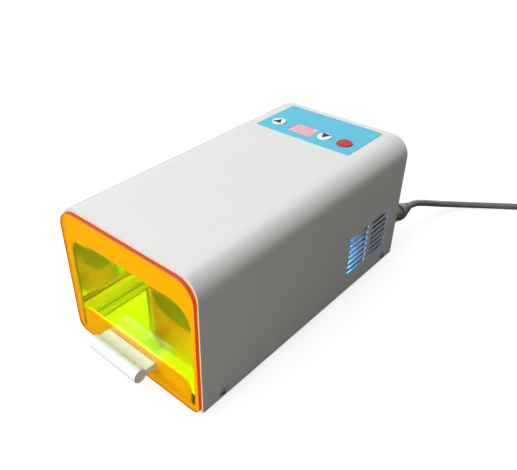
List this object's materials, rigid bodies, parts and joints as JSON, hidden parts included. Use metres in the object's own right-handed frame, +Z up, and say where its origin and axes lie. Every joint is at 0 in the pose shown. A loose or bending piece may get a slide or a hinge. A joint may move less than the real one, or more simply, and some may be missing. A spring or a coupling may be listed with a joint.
{
  "type": "dental lab light curing unit",
  "caption": "Bench unit that cures light-setting dental work under blue lamps, loaded through a front drawer with an orange filter plate.",
  "frame": {"origin": "on the table, under the centre of the unit's box without its mains lead", "axes": "+X to the right seen from the front, +Y to the rear, +Z up"},
  "size_m": [0.3385, 0.5655, 0.1337],
  "materials": {
    "painted_steel": "fine-grained satin powder coat",
    "dark_steel": "matt dark grey",
    "zinc_steel": "zinc plated",
    "label_film": "satin printed film",
    "rubber": "matt",
    "mirror_aluminium": "mirror polished",
    "lamp_glass": "phosphor coated",
    "white_plastic": "smooth moulded",
    "red_plastic": "smooth moulded",
    "iron_core": "varnished laminations",
    "board": "solder mask",
    "black_plastic": "fine texture",
    "display_window": "lit digits behind a red window",
    "orange_acrylic": "clear tinted",
    "grey_pvc": "satin",
    "brass": "nickelled"
  },
  "bodies": {
    "housing": {"casing": "painted_steel", "label_panel": "label_film", "front_frame": "painted_steel", "base_plate": "zinc_steel", "back_panel": "painted_steel", "foot_front_left": "rubber", "foot_front_right": "rubber", "foot_rear_left": "rubber", "foot_rear_right": "rubber", "casing_screws": "dark_steel", "foot_screws": "zinc_steel", "floor_screws": "zinc_steel", "chamber_liner": "mirror_aluminium", "chamber_back": "painted_steel", "lamp_tube_1": "lamp_glass", "lamp_tube_2": "lamp_glass", "lamp_tube_3": "lamp_glass", "lamp_tube_4": "lamp_glass", "lamp_bases": "white_plastic", "lamp_holders": "white_plastic", "ballast_left": "iron_core", "ballast_right": "iron_core", "control_transformer": "iron_core", "terminal_block": "white_plastic", "control_board": "board", "board_standoffs": "zinc_steel", "display": "display_window", "tact_switches": "black_plastic", "fan_frame": "black_plastic", "fan_screws": "zinc_steel", "switch_body": "black_plastic", "fuse_holder": "black_plastic", "fuse_cap": "black_plastic", "rail_left": "zinc_steel", "rail_right": "zinc_steel", "vent_guard_left": "white_plastic", "vent_guard_right": "white_plastic", "catch_magnet": "iron_core", "cord_gland": "grey_pvc", "cord_relief": "grey_pvc", "cord_lead": "grey_pvc", "cord_coil": "grey_pvc", "plug_body": "grey_pvc", "plug_pins": "brass"},
    "drawer": {"filter_plate": "orange_acrylic", "drawer_front": "white_plastic", "tray": "mirror_aluminium", "drawer_back": "dark_steel", "rear_shield": "orange_acrylic", "shield_screws": "zinc_steel", "handle_screws": "zinc_steel", "handle": "white_plastic", "runner_left": "white_plastic", "runner_right": "white_plastic", "strike": "zinc_steel"},
    "up_button": {"up_button": "white_plastic"},
    "down_button": {"down_button": "white_plastic"},
    "start_button": {"start_button": "red_plastic"},
    "fan_rotor": {"fan_rotor": "black_plastic"},
    "switch_rocker": {"switch_rocker": "black_plastic"}
  },
  "joints": [
    {"name": "drawer_slide", "type": "slide", "parent": "housing", "child": "drawer", "axis": [0, -1, 0], "range_m": [0, 0.068]},
    {"name": "up_button_press", "type": "slide", "parent": "housing", "child": "up_button", "axis": [0, 0, -1], "range_m": [0, 0.0008], "stiffness_N_per_m": 1500, "springref_m": -0.0004},
    {"name": "down_button_press", "type": "slide", "parent": "housing", "child": "down_button", "axis": [0, 0, -1], "range_m": [0, 0.0008], "stiffness_N_per_m": 1500, "springref_m": -0.0004},
    {"name": "start_button_press", "type": "slide", "parent": "housing", "child": "start_button", "axis": [0, 0, -1], "range_m": [0, 0.0008], "stiffness_N_per_m": 1500, "springref_m": -0.0004},
    {"name": "fan_spin", "type": "hinge", "parent": "housing", "child": "fan_rotor", "pos_m": [-0.035, 0.1385, 0.085], "axis": [0, 1, 0], "continuous": true},
    {"name": "rocker_tip", "type": "hinge", "parent": "housing", "child": "switch_rocker", "pos_m": [0.036, 0.1438, 0.089], "axis": [-1, 0, 0], "range_deg": [0, 16]}
  ]
}
